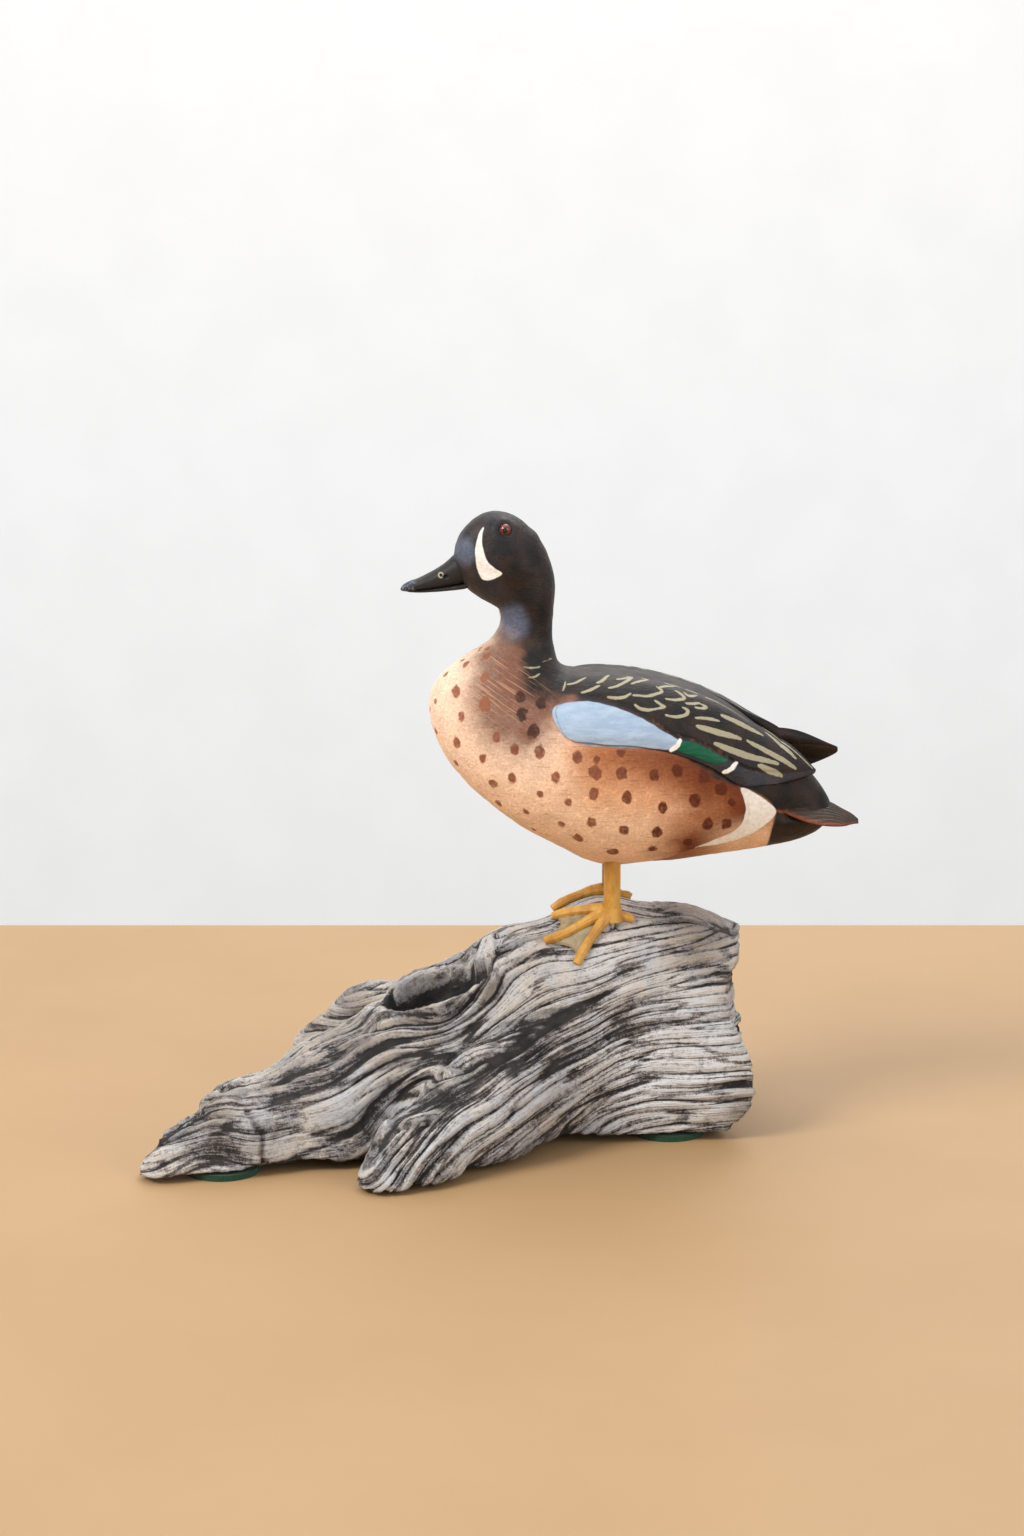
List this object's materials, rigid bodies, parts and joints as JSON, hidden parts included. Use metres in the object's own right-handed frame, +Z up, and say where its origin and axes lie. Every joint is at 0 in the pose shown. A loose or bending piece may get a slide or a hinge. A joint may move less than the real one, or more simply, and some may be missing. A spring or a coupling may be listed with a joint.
{
  "type": "duck figurine on driftwood stand",
  "caption": "Painted standing duck figure on a carved driftwood stand with felt pads underneath.",
  "frame": {"origin": "middle of the bounding box at the height of the felt pads' undersides", "axes": "+X towards the duck's tail, so the bill points to -X; +Y to the duck's right; +Z up"},
  "size_m": [0.186, 0.0956, 0.1635],
  "materials": {
    "driftwood": "matt cast grain, dry-brushed pale grey over black",
    "green_felt": "felt",
    "ochre_paint": "satin ochre paint",
    "olive_paint": "satin olive paint",
    "steel_pin": "drawn steel wire",
    "breast_paint": "hand-painted satin",
    "tail_paint": "hand-painted satin",
    "wing_paint": "hand-painted satin",
    "head_paint": "hand-painted satin",
    "dowel_wood": "plain",
    "bill_paint": "semi-gloss paint",
    "eye_glass_paint": "gloss"
  },
  "bodies": {
    "root": {"driftwood_base": "driftwood", "felt_pad_tip": "green_felt", "felt_pad_near": "green_felt", "felt_pad_far": "green_felt", "felt_pad_root": "green_felt", "left_foot": "ochre_paint", "right_foot": "ochre_paint", "left_web": "olive_paint", "right_web": "olive_paint", "left_leg": "ochre_paint", "right_leg": "ochre_paint", "left_leg_pin": "steel_pin", "right_leg_pin": "steel_pin", "body": "breast_paint", "tail": "tail_paint", "left_wing": "wing_paint", "right_wing": "wing_paint", "head_and_neck": "head_paint", "neck_dowel": "dowel_wood", "upper_bill": "bill_paint", "lower_bill": "bill_paint", "left_eye": "eye_glass_paint", "right_eye": "eye_glass_paint"}
  },
  "joints": []
}
